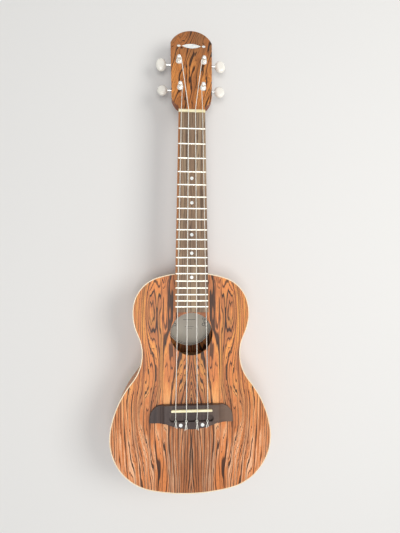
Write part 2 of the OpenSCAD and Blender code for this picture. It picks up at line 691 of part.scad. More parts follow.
module saddle() color("#f1e6bf") lay() translate([0, saddle_y, bridge_h - saddle_slot]) {
    top = saddle_h - bridge_h + saddle_slot;
    difference() {
        intersection() {
            stadium(saddle_len, saddle_t, top + 0.5);
            rotate([90, 0, 90]) linear_extrude(saddle_len, center = true)
                polygon([[-saddle_t / 2, 0], [saddle_t / 2, 0], [saddle_t / 2, top],
                    [saddle_t / 2 - 0.5, top + 0.5], [0.5 - saddle_t / 2, top + 0.5],
                    [-saddle_t / 2, top]]);
        }
        for (k = [0 : 3]) translate([saddle_x(k), -saddle_t, top + string_ds[k] / 2])
            rotate([-90, 0, 0]) cylinder(h = 2 * saddle_t, r = string_ds[k] / 2 + slack);
    }
}
module bridge_bolts() color("#c9c9c9") lay() bolt_places() {
    translate([0, 0, -top_t - patch_t - 4.5]) cylinder(h = tie_top + top_t + patch_t + 2.5,
        r = bolt_r);
    translate([0, 0, tie_top - 2.2]) cylinder(h = 1.2, r = bolt_r + 0.7);
}
module bridge_nuts() color("#b5b5b0") lay() bolt_places()
    translate([0, 0, -top_t - patch_t - 3]) difference() {
        union() {
            cylinder(h = 2.4, r = 2 * bolt_r, $fn = 6);
            translate([0, 0, 2.4]) cylinder(h = 0.6, r = 2.6 * bolt_r);
        }
        translate([0, 0, -1]) cylinder(h = 5, r = bolt_r + fit_gap);
    }
module bridge_caps() color("#f4f0e6") lay() bolt_places()
    translate([0, 0, tie_top - 1]) cylinder(h = 1.3, r = bolt_r + 0.75);

// ---- Tuner parts ----
wheel_r = gear_module * wheel_teeth / 2;
lead = PI * gear_module;
centre_gap = wheel_r + worm_r;
worm_w = -head_t - ear_t - 2.9 - wheel_t / 2;
ear_x = 5;             // inner face of the ears, from the post
worm_root_r = worm_r - 1.15 * gear_module;
worm_tip_r = worm_r + 0.85 * gear_module;
screw_r = 1.1;
plate_low = -10.6;
plate_high = centre_gap + 8;
shaft_r = 1.85;
module screw_places() for (u = [plate_low + 2.4, plate_high - 2.4]) translate([0, u, 0]) children();

module post_bushings() color("#d2d2cf") lay() at_tuners() difference() {
    union() {
        cylinder(h = 0.8, r = bushing_r + 0.5);
        translate([0, 0, 0.8]) cylinder(h = 1.2, r1 = bushing_r + 0.5, r2 = bushing_r - 0.3);
        translate([0, 0, -7]) cylinder(h = 7, r = bushing_r);
    }
    translate([0, 0, -8]) cylinder(h = 12, r = post_r + run_gap);
}
module tuner_plates() color("#c4c4c0") lay() at_tuners() difference() {
    union() {
        translate([0, (plate_low + plate_high) / 2, -head_t - ear_t]) rotate([0, 0, 90])
            stadium(plate_high - plate_low, 15, ear_t);
        for (x = [-ear_x - ear_t, ear_x]) translate([x, centre_gap - 3.4, worm_w])
            cube([ear_t, 6.8, -head_t - worm_w - ear_t / 2]);
        for (x = [-ear_x - ear_t, ear_x]) translate([x, centre_gap, worm_w])
            rotate([0, 90, 0]) cylinder(h = ear_t, r = 3.4);
    }
    translate([0, 0, -head_t - ear_t - 1]) cylinder(h = ear_t + 2, r = post_r + run_gap);
    translate([-20, centre_gap, worm_w]) rotate([0, 90, 0])
        cylinder(h = 40, r = journal_r + run_gap);
    screw_places() translate([0, 0, -head_t - ear_t - 1])
        cylinder(h = ear_t + 2, r = screw_r + 0.2);
}
module plate_screws() color("#d6d6d2") lay() at_tuners() screw_places()
    translate([0, 0, -head_t - ear_t]) {
        translate([0, 0, -1]) cylinder(h = 1, r = 2);
        cylinder(h = 8, r = screw_r);
    }
// The thread is a trapezium swept round the shaft.
thread_turns = 4;
thread_steps = 16;
function thread_ring(a) = [for (p = [[-0.6, worm_root_r - 0.2], [-0.21, worm_tip_r],
    [0.21, worm_tip_r], [0.6, worm_root_r - 0.2]])
    [p[0] + lead * a / 360, p[1] * cos(a), p[1] * sin(a)]];
module thread() {
    rings = thread_turns * thread_steps;
    points = [for (k = [0 : rings]) each thread_ring(360 * (k / thread_steps - thread_turns / 2))];
    polyhedron(points, concat([[3, 2, 1, 0]], [[for (j = [0 : 3]) 4 * rings + j]],
        [for (k = [0 : rings - 1], j = [0 : 3]) let (a = 4 * k + j, b = 4 * k + (j + 1) % 4)
            each [[a, b, b + 4], [a, b + 4, a + 4]]]));
}
module worm(k) at_tuner(k) translate([0, centre_gap, worm_w]) {
    neck_x = tuners[k][3] - button_len / 2 - tuners[k][1];
    thread();
    rotate([0, 90, 0]) {
        translate([0, 0, -ear_x + 0.2]) cylinder(h = 2 * ear_x - 0.4, r = worm_root_r);
        translate([0, 0, -ear_x - ear_t - 1.2]) cylinder(h = 2 * ear_x, r = journal_r);
        cylinder(h = ear_x + ear_t + 1, r = journal_r);
        translate([0, 0, ear_x + ear_t + 0.2]) cylinder(h = 1.4, r = shaft_r + 0.8);
        translate([0, 0, ear_x + ear_t + 1]) cylinder(h = neck_x - ear_x - ear_t - 1, r = shaft_r);
        translate([0, 0, neck_x - 1]) cylinder(h = 6, r = shaft_r - 0.5);
    }
}
// Half of the button's section, thick in the middle and thin at the rim.
module button(k) at_tuner(k) translate([tuners[k][3] - tuners[k][1], centre_gap, worm_w])
    rotate([tuners[k][4], 0, 0]) difference() {
        union() {
            scale([button_len / button_w, 1, 1]) rotate_extrude($fn = 32)
                polygon([[0, -button_t / 2], [button_w * 0.3, -button_t * 0.46],
                    [button_w * 0.43, -button_t * 0.3], [button_w / 2, -button_t * 0.07],
                    [button_w / 2, button_t * 0.07], [button_w * 0.43, button_t * 0.3],
                    [button_w * 0.3, button_t * 0.46], [0, button_t / 2]]);
            translate([-button_len / 2, 0, 0]) rotate([0, 90, 0])
                cylinder(h = 4, r1 = shaft_r + 0.35, r2 = shaft_r + 1.4);
        }
        translate([-button_len / 2 - 1, 0, 0]) rotate([0, 90, 0])
            cylinder(h = 6.2, r = shaft_r - 0.5 + fit_gap);
    }
waist_top = post_h - 3;
wheel_top = worm_w + wheel_t / 2;
wheel_low = worm_w - wheel_t / 2;
module post(k) at_tuner(k) difference() {
    rotate_extrude() polygon([[0, wheel_low + 0.4], [1.6, wheel_low + 0.4], [1.6, wheel_top],
        [post_r, wheel_top], [post_r, 2.6], [post_r + 0.2, 2.8], [post_r + 0.2, 3.1],
        [waist_r, 3.6], [waist_r, waist_top], [2.6, post_h - 2.3], [2.7, post_h - 1.4],
        [2.2, post_h - 0.5], [1.4, post_h], [0, post_h]]);
    translate([0, -5, post_h - 4.6]) rotate([-90, 0, 0]) cylinder(h = 10, r = 0.75);
    translate([0, 0, wheel_low - 1]) cylinder(h = 5, r = 0.8);
}
function wheel_points() = [for (n = [0 : wheel_teeth - 1],
    p = [[-8 * 15 / wheel_teeth, -1.2], [-4.7 * 15 / wheel_teeth, 0], [-2.2 * 15 / wheel_teeth, 0.9],
        [2.2 * 15 / wheel_teeth, 0.9], [4.7 * 15 / wheel_teeth, 0], [8 * 15 / wheel_teeth, -1.2]])
    polar([0, 0], wheel_r + p[1] * gear_module, 90 + 360 * n / wheel_teeth + p[0])];
module wheel(k) at_tuner(k) translate([0, 0, wheel_low]) difference() {
    linear_extrude(wheel_t) polygon(wheel_points());
    translate([0, 0, -1]) cylinder(h = wheel_t + 2, r = 1.6 + fit_gap / 2);
}
module wheel_screw(k) at_tuner(k) translate([0, 0, wheel_low]) {
    translate([0, 0, -1.1]) cylinder(h = 1.1, r = 2.3);
    cylinder(h = 3, r = 0.8 - fit_gap / 2);
}

module worm_g() color("#cfcfcb") lay() worm(0);
module worm_c() color("#cfcfcb") lay() worm(1);
module worm_e() color("#cfcfcb") lay() worm(2);
module worm_a() color("#cfcfcb") lay() worm(3);
module button_g() color("#f2f0ea") lay() button(0);
module button_c() color("#f2f0ea") lay() button(1);
module button_e() color("#f2f0ea") lay() button(2);
module button_a() color("#f2f0ea") lay() button(3);
module post_g() color("#d8d8d4") lay() post(0);
module post_c() color("#d8d8d4") lay() post(1);
module post_e() color("#d8d8d4") lay() post(2);
module post_a() color("#d8d8d4") lay() post(3);
module wheel_g() color("#b9a36a") lay() wheel(0);
module wheel_c() color("#b9a36a") lay() wheel(1);
module wheel_e() color("#b9a36a") lay() wheel(2);
module wheel_a() color("#b9a36a") lay() wheel(3);
module wheel_screw_g() color("#c8c8c4") lay() wheel_screw(0);
module wheel_screw_c() color("#c8c8c4") lay() wheel_screw(1);
module wheel_screw_e() color("#c8c8c4") lay() wheel_screw(2);
module wheel_screw_a() color("#c8c8c4") lay() wheel_screw(3);

// ---- Strings ----
string_sides = 8;
function tangent(p, i) = unit(p[min(i + 1, len(p) - 1)] - p[max(i - 1, 0)]);
function square_to(n, t) = unit(n - (n * t) * t);
// A tube along a path; the start of each ring is carried along so that it doesn't twist.
module tube(path, r) {
    last = len(path) - 1;
    normals = [for (i = 0, n = square_to([1, 0, 0.2], tangent(path, 0)); i <= last;
        i = i + 1, n = i <= last ? square_to(n, tangent(path, i)) : n) n];
    points = [for (i = [0 : last]) let (t = tangent(path, i), n = normals[i], b = cross(t, n))
        each [for (j = [0 : string_sides - 1]) let (a = 360 * j / string_sides)
            path[i] + r * (cos(a) * n + sin(a) * b)]];
    m = string_sides;
    polyhedron(points, concat([[for (j = [0 : m - 1]) j]],
        [[for (j = [m - 1 : -1 : 0]) m * last + j]],
        [for (i = [0 : last - 1], j = [0 : m - 1]) let (a = m * i + j, b = m * i + (j + 1) % m)
            each [[a, b + m, b], [a, a + m, b + m]]]));
}
wind_gap = 0.12;       // clearance of the turns round a post
// The turns of string k round its post, from the tangent point down.
function turns(k) = let (t = tuners[k], r = string_ds[k] / 2, rho = waist_r + r + wind_gap,
    side = t[0], n = [side * nut_x(k), 0] - [t[1], t[2]],
    start = bearing(n) - acos(rho / norm(n)), steps = ceil(string_turns * 12),
    pitch = string_ds[k] + 0.08)
    [for (i = [0 : steps]) let (a = start - 360 * string_turns * i / steps)
        head_point(side * (t[1] + rho * cos(a)), t[2] + rho * sin(a),
            waist_top - 0.1 - r - pitch * string_turns * i / steps)];
// Points of string k round a corner of the tie block at y; back is -1 behind it, 1 in front.
function round_corner(k, y, back, x, angles) = let (r = (string_ds[k] / 2 + 0.1) / cos(15))
    [for (a = angles) [x, y + back * r * cos(a), tie_top + r * sin(a)]];
// The loop over the tie block: over the top, down behind it and forward through the hole.
function tie_path(k) = let (x = saddle_x(k), r = string_ds[k] / 2,
    back_y = bulge_c[1] - sqrt(bulge_r * bulge_r - x * x) - 0.1,
    front_y = saddle_y - trench_gap - trench_len)
    concat([[x + 1.3, front_y + r + 0.15, tie_top - 1.2]],
        round_corner(k, front_y, 1, x + 1.2, [0, 30, 60, 90]),
        round_corner(k, back_y, -1, x + 0.8, [90, 60, 30, 0]),
        [[x + 0.2, back_y - r - 0.3, tie_hole_z + 0.5], [x, back_y - 0.1, tie_hole_z],
            [x, front_y + 0.4, tie_hole_z]]);
// From the tie block over the saddle and the nut to the post.
module string_piece(k) {
    r = string_ds[k] / 2;
    x = saddle_x(k);
    over = saddle_t / 2 + 0.2;
    past = nut_t + 0.3;
    tube(concat(tie_path(k), [[x, saddle_y - over, saddle_h + r],
        [x, saddle_y + over, saddle_h + r], [nut_x(k), -0.2, nut_string_z + r],
        [nut_x(k), past, nut_string_z + r - past * tan(nut_fall)]], turns(k)), r);
}
module string_g() color("#f4f2ea") lay() string_piece(0);
module string_c() color("#f4f2ea") lay() string_piece(1);
module string_e() color("#f4f2ea") lay() string_piece(2);
module string_a() color("#f4f2ea") lay() string_piece(3);

soundboard();
back();
rim_bass();
rim_treble();
neck_block();
tail_block();
top_linings();
back_linings();
soundboard_braces();
back_braces();
bridge_plate();
soundhole_patch();
top_binding();
back_binding();
end_strip();
label();
neck();
heel_cap();
neck_dowels();
headplate();
head_inlay();
fingerboard();
frets();
position_dots();
nut();
bridge();
saddle();
bridge_bolts();
bridge_nuts();
bridge_caps();
string_g();
string_c();
string_e();
string_a();
post_bushings();
tuner_plates();
plate_screws();
worm_g();
button_g();
post_g();
wheel_g();
wheel_screw_g();
worm_c();
button_c();
post_c();
wheel_c();
wheel_screw_c();
worm_e();
button_e();
post_e();
wheel_e();
wheel_screw_e();
worm_a();
button_a();
post_a();
wheel_a();
wheel_screw_a();
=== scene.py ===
import json
from math import acos, atan2, cos, pi, radians, sin, sqrt, tan
import bpy
from mathutils import Euler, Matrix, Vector

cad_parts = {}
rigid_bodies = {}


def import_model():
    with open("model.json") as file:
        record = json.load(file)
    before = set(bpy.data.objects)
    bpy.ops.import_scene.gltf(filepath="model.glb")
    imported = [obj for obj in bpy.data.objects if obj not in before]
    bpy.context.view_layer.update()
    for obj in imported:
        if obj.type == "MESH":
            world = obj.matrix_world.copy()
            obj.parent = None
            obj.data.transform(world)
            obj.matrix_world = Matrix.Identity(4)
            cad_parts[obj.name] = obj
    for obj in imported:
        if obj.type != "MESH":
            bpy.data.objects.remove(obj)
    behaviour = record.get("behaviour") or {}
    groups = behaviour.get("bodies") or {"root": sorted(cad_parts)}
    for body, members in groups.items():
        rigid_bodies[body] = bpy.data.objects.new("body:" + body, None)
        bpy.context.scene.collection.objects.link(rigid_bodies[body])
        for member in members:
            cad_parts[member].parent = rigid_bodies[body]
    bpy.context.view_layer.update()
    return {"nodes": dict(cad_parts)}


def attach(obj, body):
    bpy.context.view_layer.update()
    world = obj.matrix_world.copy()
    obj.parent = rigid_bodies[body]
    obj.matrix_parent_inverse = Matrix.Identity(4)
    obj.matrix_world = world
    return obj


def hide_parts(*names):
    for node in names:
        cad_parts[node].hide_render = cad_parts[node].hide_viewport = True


for old in list(bpy.data.objects):
    bpy.data.objects.remove(old)
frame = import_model()
nodes = frame["nodes"]
print("frame loaded with", len(nodes), "nodes")

# the instrument is drawn level, in millimetres with the nut at y = 0, and lies tilted in the frame, in metres
lay = {"tilt": radians(1.63308), "y": 185.010, "z": 53.9543}
head = {"angle": radians(10), "start": 4.5, "face": 3.5}


def laid(x, y, z):
    # a place on the level instrument
    c, s = cos(lay["tilt"]), sin(lay["tilt"])
    return Vector((x, y * c + z * s + lay["y"], z * c - y * s + lay["z"])) / 1000


def onHead(x, u, w):
    # a place on the headstock: u towards its tip and w above its face
    c, s = cos(head["angle"]), sin(head["angle"])
    return laid(x, head["start"] + u * c + w * s, head["face"] - u * s + w * c)


# camera and lamps
camera = {"place": (-0.02814, -0.02202, 0.57022), "turn": (0.583, -4.392, 0.149), "lens": 26.48,
          "sensor": 36, "reach": (0.01, 50)}
lensData = bpy.data.cameras.new("camera")
lensData.lens, lensData.sensor_width = camera["lens"], camera["sensor"]
lensData.clip_start, lensData.clip_end = camera["reach"]
cameraObject = bpy.data.objects.new("camera", lensData)
cameraObject.location = camera["place"]
cameraObject.rotation_euler = Euler([radians(a) for a in camera["turn"]])
bpy.context.scene.collection.objects.link(cameraObject)
bpy.context.scene.camera = cameraObject

studio = {
    "worldLevel": 0.40, "worldColour": (0.97, 0.985, 1.0, 1.0),
    "floorColour": (0.80, 0.79, 0.77, 1.0), "floorShade": (0.788, 0.77815, 0.75845, 1.0),
    "floorHalf": 4.0, "floorFade": (0.7, 2.6),
    "keyLamp": {"place": (1.15, 0.2, 1.45), "target": (0, 0, 0.03), "size": 0.9, "power": 14.6,
                "colour": (1.0, 0.985, 0.96)},
    "topLamp": {"place": (-0.1, -0.25, 1.8), "target": (0, -0.1, 0.05), "size": 0.7, "power": 12.2,
                "colour": (1, 1, 1)},
}


def areaLamp(name, place, target, size, power, colour):
    data = bpy.data.lights.new(name, "AREA")
    data.size, data.energy, data.color = size, power, colour
    lamp = bpy.data.objects.new(name, data)
    lamp.location = place
    lamp.rotation_euler = (Vector(target) - Vector(place)).to_track_quat("-Z", "Y").to_euler()
    bpy.context.scene.collection.objects.link(lamp)


for name in ("keyLamp", "topLamp"):
    areaLamp(name, **studio[name])
bpy.context.scene.view_settings.view_transform = "Standard"
print("camera and lamps set")


# node tree helpers
def newMaterial(name, **sockets):
    # sockets are the shader's own values, such as Specular_IOR_Level=0.2
    material = bpy.data.materials.new(name)
    material.use_nodes = True
    shader = material.node_tree.nodes["Principled BSDF"]
    for key, value in sockets.items():
        shader.inputs[key.replace("_", " ")].default_value = value
    return material, material.node_tree, shader


def add(tree, kind, inputs=None, out=0, **settings):
    # a node with its inputs set or linked, which gives back one of its outputs
    node = tree.nodes.new(kind)
    for key, value in settings.items():
        setattr(node, key, value)
    for key, value in (inputs or {}).items():
        if isinstance(value, bpy.types.NodeSocket):
            tree.links.new(value, node.inputs[key])
        else:
            node.inputs[key].default_value = value
    return node.outputs[out]


def calc(tree, operation, a, b=0.0, c=0.0, clamp=False):
    return add(tree, "ShaderNodeMath", {0: a, 1: b, 2: c}, operation=operation, use_clamp=clamp)


def parts(tree, vector):
    # a vector's x, y and z
    return [add(tree, "ShaderNodeSeparateXYZ", {0: vector}, out=k) for k in range(3)]


def noise(tree, vector, scale, detail=2.0, rough=0.5):
    return add(tree, "ShaderNodeTexNoise", {"Vector": vector, "Scale": scale, "Detail": detail,
                                            "Roughness": rough})


def stretched(tree, vector, scale, turn=(0, 0, 0)):
    return add(tree, "ShaderNodeMapping", {"Vector": vector, "Scale": scale, "Rotation": turn})


def fit(tree, value, low, high, toLow=0.0, toHigh=1.0, smooth=True):
    return add(tree, "ShaderNodeMapRange", {0: value, 1: low, 2: high, 3: toLow, 4: toHigh},
               interpolation_type="SMOOTHSTEP" if smooth else "LINEAR")


def mixed(tree, factor, a, b):
    return add(tree, "ShaderNodeMix", {0: factor, 6: a, 7: b}, out=2, data_type="RGBA")


def srgb(r, g, b):
    return tuple(((c / 255 + 0.055) / 1.055) ** 2.4 for c in (r, g, b)) + (1.0,)


def bump(tree, shader, height, strength, distance, edge=0.0):
    # edge is the radius to which sharp corners are broken, so that they catch the light
    inputs = {"Height": height, "Strength": strength, "Distance": distance}
    if edge:
        inputs["Normal"] = add(tree, "ShaderNodeBevel", {"Radius": edge}, samples=4)
    tree.links.new(add(tree, "ShaderNodeBump", inputs), shader.inputs["Normal"])


def objectPlace(tree):
    return add(tree, "ShaderNodeTexCoord", out=3)


# woods: noise scales are across and along the grain, and a band is the span of noise that counts
woodFigure = {
    "grainAlong": 8.0, "warmBand": (0.4, 0.55), "midBand": (0.56, 0.72), "midShare": 0.75,
    "lineNoise": (3.71, 9.0), "lineBand": (0.36, 0.66), "thinLine": 0.05, "heartLines": 0.6, "fineCount": 2.7,
    "smokeAlong": 7.0, "smokeBand": (0.48, 0.66),
    "fibreNoise": (1700.0, 45.0), "fibreBand": (0.35, 0.75), "fibreShare": 0.3,
    "poreNoise": (2400.0, 150.0), "poreBand": (0.62, 0.72), "poreShare": 0.45, "poreDepth": 0.6,
    "bumpStrength": 0.25, "bumpHeight": 0.00015,
}


def figuredWood(name, look):
    # growth rings as lines of equal ring height, over smoky bands, with fibres and pores along the grain
    material, tree, shader = newMaterial(name, Roughness=look["rough"], Specular_IOR_Level=look["gloss"])
    figure, seed = woodFigure, look["seed"]
    x, y, z = parts(tree, stretched(tree, objectPlace(tree), (1, 1, 1), look.get("turn", (0, 0, 0))))
    across = z if look.get("onEdge") else calc(tree, "ABSOLUTE", x) if look["mirrored"] else x

    def pattern(scales, detail=2.0, rough=0.5, nudge=0.0, side=across, along=y):
        place = add(tree, "ShaderNodeCombineXYZ", {0: calc(tree, "MULTIPLY", side, scales[0]),
                                                   1: calc(tree, "MULTIPLY", along, scales[1]),
                                                   2: seed + nudge})
        return noise(tree, place, 1.0, detail, rough)

    # the grain ends in teeth, so each fibre's place along the grain is shifted a little
    *raggedScales, shift = look["ragged"]
    ragged = calc(tree, "SUBTRACT", pattern(raggedScales, detail=3.0, rough=0.65, nudge=1.0), 0.5)
    along = calc(tree, "MULTIPLY_ADD", ragged, shift, y)
    height = calc(tree, "MULTIPLY", across, look["slope"])
    for k, (*scales, rise) in enumerate(look["waves"]):
        wave = pattern(scales, rough=0.55, nudge=2.0 + k, along=along)
        height = calc(tree, "MULTIPLY_ADD", wave, rise, height)
    for side, place, halfWidth, halfLength, rise in look.get("knots", []):
        # a flame: a long bump of the ring height
        du = calc(tree, "DIVIDE", calc(tree, "SUBTRACT", across, side), halfWidth)
        dv = calc(tree, "DIVIDE", calc(tree, "SUBTRACT", along, place), halfLength)
        distance = calc(tree, "MULTIPLY_ADD", du, du, calc(tree, "MULTIPLY", dv, dv))
        height = calc(tree, "ADD", height, calc(tree, "DIVIDE", rise, calc(tree, "ADD", distance, 1.0)))
    for reach, low, high, rise in look.get("ramps", []):
        # nested arches over the middle seam: the rings climb from low to high along the grain
        side = calc(tree, "DIVIDE", across, reach)
        share = calc(tree, "DIVIDE", rise, calc(tree, "MULTIPLY_ADD", side, side, 1.0))
        height = calc(tree, "MULTIPLY_ADD", fit(tree, along, low, high), share, height)

    heart = 0.0
    if look.get("heart"):
        # the wood by the middle seam is smokier and its lines are heavier
        near, far, extra = look["heart"]
        heart = fit(tree, across, near, far, extra, 0.0)

    def lines(count, nudge):
        # one line to each ring, and each has its own width, which swells and fades along it
        level = calc(tree, "MULTIPLY_ADD", height, count, nudge)
        number = calc(tree, "FLOOR", level)
        off = calc(tree, "SUBTRACT", calc(tree, "SUBTRACT", level, number), 0.5)
        own = pattern(figure["lineNoise"], rough=0.6, nudge=nudge, side=number, along=along)
        own = calc(tree, "MULTIPLY_ADD", heart, figure["heartLines"], own)
        wide = fit(tree, own, *figure["lineBand"], figure["thinLine"], look["lineWidth"])
        off = calc(tree, "DIVIDE", calc(tree, "ABSOLUTE", off), wide)
        return fit(tree, off, 0.5, 1.0, 1.0, 0.0), number

    grain = pattern((look["grain"], figure["grainAlong"]), detail=5.0, rough=0.75, nudge=5.0, side=height,
                    along=along)
    broad, ring = lines(look["lineScale"], 7.0)
    fine = lines(look["lineScale"] * figure["fineCount"], 8.0)[0]
    smoke = pattern((look["smokeScale"], figure["smokeAlong"]), detail=3.0, rough=0.6, nudge=6.0,
                    side=calc(tree, "ADD", ring, 0.5), along=along)
    smoke = fit(tree, calc(tree, "ADD", smoke, heart), *figure["smokeBand"])
    fibre = pattern(figure["fibreNoise"], detail=3.0, rough=0.6, nudge=11.0)
    pore = fit(tree, pattern(figure["poreNoise"], detail=1.0, nudge=12.0), *figure["poreBand"])

    colour = look["light"]
    # towards pale along y: the body's lower part pinker, partly its own tone and partly painted sheen; the
    # headstock's tip darker
    if "fade" in look:
        colour = mixed(tree, fit(tree, y, *look["fade"]), colour, look["pale"])
    colour = mixed(tree, fit(tree, grain, *figure["warmBand"]), colour, look["warm"])
    for amount, second in [
            (fit(tree, grain, *figure["midBand"], 0.0, figure["midShare"]), "mid"),
            (calc(tree, "MULTIPLY", smoke, look["smoke"]), "mid"),
            (calc(tree, "MULTIPLY", fine, look["fineDepth"]), "dark"),
            (calc(tree, "MULTIPLY", broad, look["lineDepth"]), "dark"),
            (fit(tree, fibre, *figure["fibreBand"], 0.0, figure["fibreShare"]), "mid"),
            (calc(tree, "MULTIPLY", pore, figure["poreShare"]), "dark")]:
        colour = mixed(tree, amount, colour, look[second])
    tree.links.new(colour, shader.inputs["Base Color"])
    relief = calc(tree, "MULTIPLY_ADD", pore, -figure["poreDepth"], fibre)
    bump(tree, shader, relief, figure["bumpStrength"], figure["bumpHeight"], look.get("edge", 0.0))
    return material


def stain(material, amount, colour):
    # a second colour over a finished wood
    tree = material.node_tree
    target = tree.nodes["Principled BSDF"].inputs["Base Color"]
    tree.links.new(mixed(tree, amount, target.links[0].from_socket, colour), target)


def wander(tree, at, scale, detail, reach):
    # a line's drift to either side, by at most half its reach
    drift = noise(tree, stretched(tree, at, scale), 1.0, detail)
    return calc(tree, "MULTIPLY_ADD", drift, reach, -reach / 2)


def addEdgeStrip(material, look):
    # an orange strip along the left edge of the fingerboard, with a wandering inner edge
    tree = material.node_tree
    at = objectPlace(tree)
    x, y = parts(tree, at)[:2]
    inward = calc(tree, "ADD", x, calc(tree, "MULTIPLY_ADD", y, -look["spread"], look["halfWidth"]))
    inward = calc(tree, "ADD", inward, wander(tree, at, *look["wander"]))
    stain(material, fit(tree, inward, *look["edge"], 1.0, 0.0), look["colour"])


def addPaintedSheen(material, look):
    # painted sheen: a lighter brown laid over one side, the side the key lamp lights, coming in along the
    # grain
    tree = material.node_tree
    at = objectPlace(tree)
    side = calc(tree, "ADD", parts(tree, at)[0], wander(tree, at, *look["wander"]))
    stain(material, fit(tree, side, *look["edge"], 0.0, look["share"]), look["colour"])


# ragged and waves: scales across and along, then how far; a knot: place, half width, half length and rise;
# a ramp: reach from the seam, where it starts and ends, and rise
# the lower part fades to pale, a pinker colour that is partly the wood's own tone and partly painted sheen
topLook = {
    "mirrored": True, "seed": 27.9, "rough": 0.38, "gloss": 0.2, "ragged": (420.0, 12.0, 0.012),
    "slope": 215.0, "waves": [(26.0, 3.6, 7.0), (90.0, 8.0, 2.6), (300.0, 24.0, 0.3)],
    "knots": [(0.064, -0.215, 0.014, 0.05, -3.5), (0.055, -0.07, 0.012, 0.06, -3.5),
              (0.0, -0.325, 0.01, 0.04, -3.0)],
    "ramps": [(0.03, -0.225, -0.12, 3.0)], "heart": (0.016, 0.045, 0.15), "grain": 1.1,
    "smokeScale": 3.3, "smoke": 0.5, "lineScale": 1.05, "lineWidth": 0.2, "lineDepth": 0.95,
    "fineDepth": 0.85, "fade": (-0.14, -0.27), "light": srgb(252, 171, 88), "pale": srgb(253, 198, 156),
    "warm": srgb(230, 140, 80), "mid": srgb(136, 86, 60), "dark": srgb(46, 31, 25),
}
topWood = figuredWood("topWood", topLook)
backWood = figuredWood("backWood", {**topLook, "seed": 8.1})
rimWood = figuredWood("rimWood", {
    **topLook, "seed": 5.7, "mirrored": False, "onEdge": True, "knots": [], "heart": None,
})
veneerWood = figuredWood("veneerWood", {
    **topLook, "seed": 12.6, "mirrored": False, "turn": (0, 0, radians(14)), "knots": [], "ramps": [],
    "heart": None, "slope": 130.0, "waves": [(40.0, 11.0, 7.0), (120.0, 18.0, 2.0)], "fineDepth": 0.4,
    "edge": 0.0006, "fade": (0.235, 0.285), "light": srgb(226, 148, 78), "pale": srgb(160, 108, 68),
    "warm": srgb(186, 116, 64), "mid": srgb(118, 78, 52), "dark": srgb(48, 33, 26),
})
quietLook = {
    "mirrored": False, "gloss": 0.2, "ragged": (200.0, 20.0, 0.02), "slope": 160.0,
    "waves": [(60.0, 3.0, 5.0), (200.0, 8.0, 1.0)], "grain": 0.8, "smokeScale": 3.3, "lineScale": 0.9,
    "lineWidth": 0.2,
}
boardWood = figuredWood("boardWood", {
    **quietLook, "seed": 21.0, "rough": 0.5, "lineDepth": 0.6, "fineDepth": 0.6, "smoke": 0.6,
    "light": srgb(167, 144, 117), "warm": srgb(147, 120, 96), "mid": srgb(116, 94, 79),
    "dark": srgb(64, 50, 44),
})
addEdgeStrip(boardWood, {
    "halfWidth": 0.02069, "spread": 0.01724, "edge": (0.0016, 0.0024), "wander": ((300, 25, 1), 2.0, 0.001),
    "colour": srgb(168, 112, 70),
})
neckWood = figuredWood("neckWood", {
    **quietLook, "seed": 31.0, "rough": 0.42, "lineDepth": 0.22, "fineDepth": 0.3, "smoke": 0.4,
    "light": srgb(168, 104, 70), "warm": srgb(150, 88, 56), "mid": srgb(132, 76, 50),
    "dark": srgb(96, 54, 38),
})
darkWood = figuredWood("darkWood", {
    **quietLook, "seed": 41.0, "rough": 0.4, "lineDepth": 0.35, "fineDepth": 0.35, "smoke": 0.5,
    "edge": 0.0006, "light": srgb(92, 78, 73), "warm": srgb(80, 67, 63), "mid": srgb(64, 53, 51),
    "dark": srgb(40, 33, 33),
})
# the bridge's right wing is painted a lighter brown, a painted sheen on the side the key lamp lights
addPaintedSheen(darkWood, {
    "edge": (0.012, 0.05), "share": 0.75, "wander": ((25, 240, 1), 3.0, 0.03), "colour": srgb(122, 98, 82),
})
innerWood = figuredWood("innerWood", {
    **quietLook, "seed": 51.0, "rough": 0.6, "lineDepth": 0.3, "fineDepth": 0.3, "smoke": 0.3,
    "light": srgb(214, 178, 132), "warm": srgb(204, 164, 118), "mid": srgb(190, 150, 104),
    "dark": srgb(150, 108, 70),
})
print("woods made")


# binding, bone, shell, plastic, nylon and metals
surface = {
    "band": (0.3, 0.7), "specks": 14, "speckHeight": 0.0001,
    "smudges": 300.0, "smudgeRough": (0.75, 1.3), "scratches": 2400.0, "scratchStrength": 0.06,
    "scratchHeight": 0.00005,
}


def speckled(name, light, shade, scale, rough, strength=0.1, edge=0.0, **sockets):
    # a nearly even colour with soft clouds and fine specks
    material, tree, shader = newMaterial(name, Roughness=rough, **sockets)
    at = objectPlace(tree)
    cloud = fit(tree, noise(tree, at, scale, 3.0), *surface["band"])
    tree.links.new(mixed(tree, cloud, light, shade), shader.inputs["Base Color"])
    bump(tree, shader, noise(tree, at, scale * surface["specks"]), strength, surface["speckHeight"], edge)
    return material


def brushedMetal(name, colour, rough):
    # metal that handling has left a little uneven in its shine
    material, tree, shader = newMaterial(name, Metallic=1.0, Base_Color=colour)
    at = objectPlace(tree)
    smudge = noise(tree, at, surface["smudges"], 3.0)
    low, high = [rough * share for share in surface["smudgeRough"]]
    tree.links.new(fit(tree, smudge, *surface["band"], low, high), shader.inputs["Roughness"])
    bump(tree, shader, noise(tree, at, surface["scratches"]), surface["scratchStrength"],
         surface["scratchHeight"])
    return material


